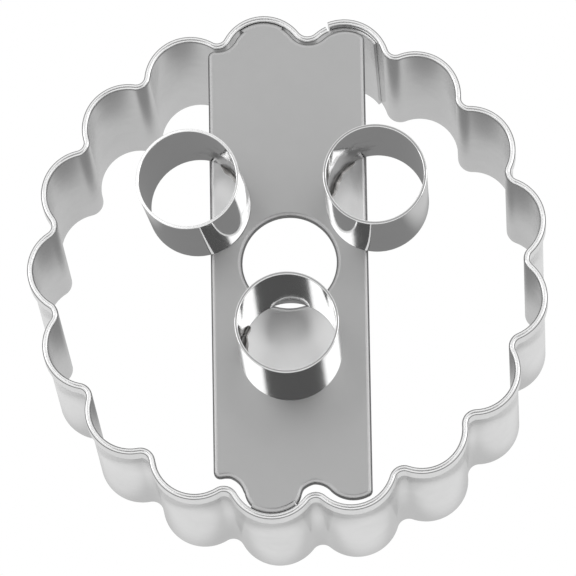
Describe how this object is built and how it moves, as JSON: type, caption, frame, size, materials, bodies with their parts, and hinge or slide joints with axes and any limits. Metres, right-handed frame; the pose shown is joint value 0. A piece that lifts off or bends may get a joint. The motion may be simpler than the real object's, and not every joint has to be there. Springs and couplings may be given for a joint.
{
  "type": "linzer cookie cutter",
  "caption": "Scalloped sheet-metal cookie cutter with a bridge plate across its folded rim that carries small round cutters as two eyes and a nose.",
  "frame": {"origin": "middle of the scalloped ring at its cutting edge", "axes": "+Z from the cutting edge to the rim and the small cutters; +Y along the bridge plate to the end with the two eyes; +X to the right-hand eye"},
  "size_m": [0.0495, 0.0496, 0.033],
  "materials": {
    "ring_tinplate": "bright rolled tin plate, fine grain",
    "plate_tinplate": "satin tin plate, fine grain",
    "cutter_tinplate": "bright, nearly mirror-like tube",
    "weld_metal": "dull weld metal and solder"
  },
  "bodies": {
    "root": {"scalloped_ring": "ring_tinplate", "bridge_plate": "plate_tinplate", "left_eye": "cutter_tinplate", "right_eye": "cutter_tinplate", "nose": "cutter_tinplate", "left_eye_solder": "weld_metal", "right_eye_solder": "weld_metal", "nose_solder": "weld_metal", "seam_welds": "weld_metal", "upper_tab_welds": "weld_metal", "lower_tab_welds": "weld_metal"}
  },
  "joints": []
}
